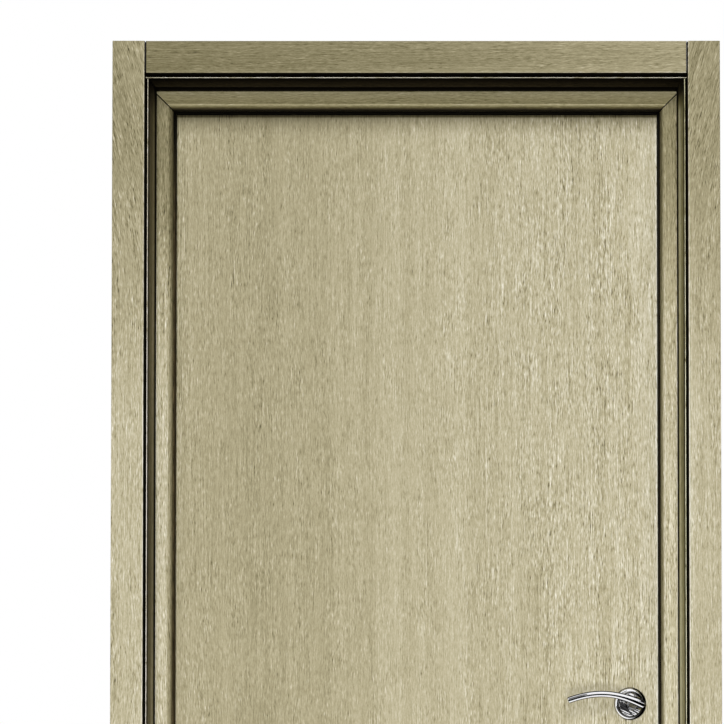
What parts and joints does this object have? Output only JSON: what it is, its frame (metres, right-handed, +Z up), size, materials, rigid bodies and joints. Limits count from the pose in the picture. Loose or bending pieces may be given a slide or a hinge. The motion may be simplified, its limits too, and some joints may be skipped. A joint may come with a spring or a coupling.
{
  "type": "interior door set",
  "caption": "Flush oak-veneered interior door hung in a mitred rebated frame with extension linings, tongued architraves and an arched chrome lever handle on round roses.",
  "frame": {"origin": "at floor level on the outer face of the hinge jamb, in the middle plane of the wall", "axes": "+X from the hinge jamb to the strike jamb, +Y from the push side to the pull side that the leaf opens to, +Z up"},
  "size_m": [0.9461, 0.1871, 2.0913],
  "materials": {
    "oak_veneer": "matt lacquered bleached oak veneer",
    "core_timber": "planed softwood",
    "polished_chrome": "polished chrome plate",
    "satin_steel": "satin steel",
    "seal_rubber": "matt brown rubber"
  },
  "bodies": {
    "frame": {"hinge_jamb": "oak_veneer", "strike_jamb": "oak_veneer", "head_jamb": "oak_veneer", "hinge_side_extension": "oak_veneer", "strike_side_extension": "oak_veneer", "head_extension": "oak_veneer", "front_hinge_side_architrave": "oak_veneer", "front_strike_side_architrave": "oak_veneer", "front_head_architrave": "oak_veneer", "back_hinge_side_architrave": "oak_veneer", "back_strike_side_architrave": "oak_veneer", "back_head_architrave": "oak_veneer", "hinge_side_seal": "seal_rubber", "strike_side_seal": "seal_rubber", "head_seal": "seal_rubber", "strike_plate": "satin_steel", "upper_hinge_frame_plate": "satin_steel", "lower_hinge_frame_plate": "satin_steel", "upper_hinge_pin": "satin_steel", "lower_hinge_pin": "satin_steel"},
    "leaf": {"front_skin": "oak_veneer", "back_skin": "oak_veneer", "hinge_stile": "core_timber", "lock_stile": "core_timber", "top_rail": "core_timber", "bottom_rail": "core_timber", "hinge_edge_band": "oak_veneer", "lock_edge_band": "oak_veneer", "latch_forend": "satin_steel", "latch_bolt": "satin_steel", "front_rose": "polished_chrome", "back_rose": "polished_chrome", "upper_hinge_leaf_plate": "satin_steel", "lower_hinge_leaf_plate": "satin_steel"},
    "lever": {"front_lever": "polished_chrome", "back_lever": "polished_chrome", "spindle": "satin_steel"}
  },
  "joints": [
    {"name": "leaf_swing", "type": "hinge", "parent": "frame", "child": "leaf", "pos_m": [0.0345, 0.0695, 1.008], "axis": [0, 0, 1], "range_deg": [0, 170]},
    {"name": "lever_turn", "type": "hinge", "parent": "leaf", "child": "lever", "pos_m": [0.782, 0.0225, 1.044], "axis": [0, -1, 0], "range_deg": [0, 40], "stiffness_Nm_per_rad": 1, "springref_deg": -34.38}
  ]
}
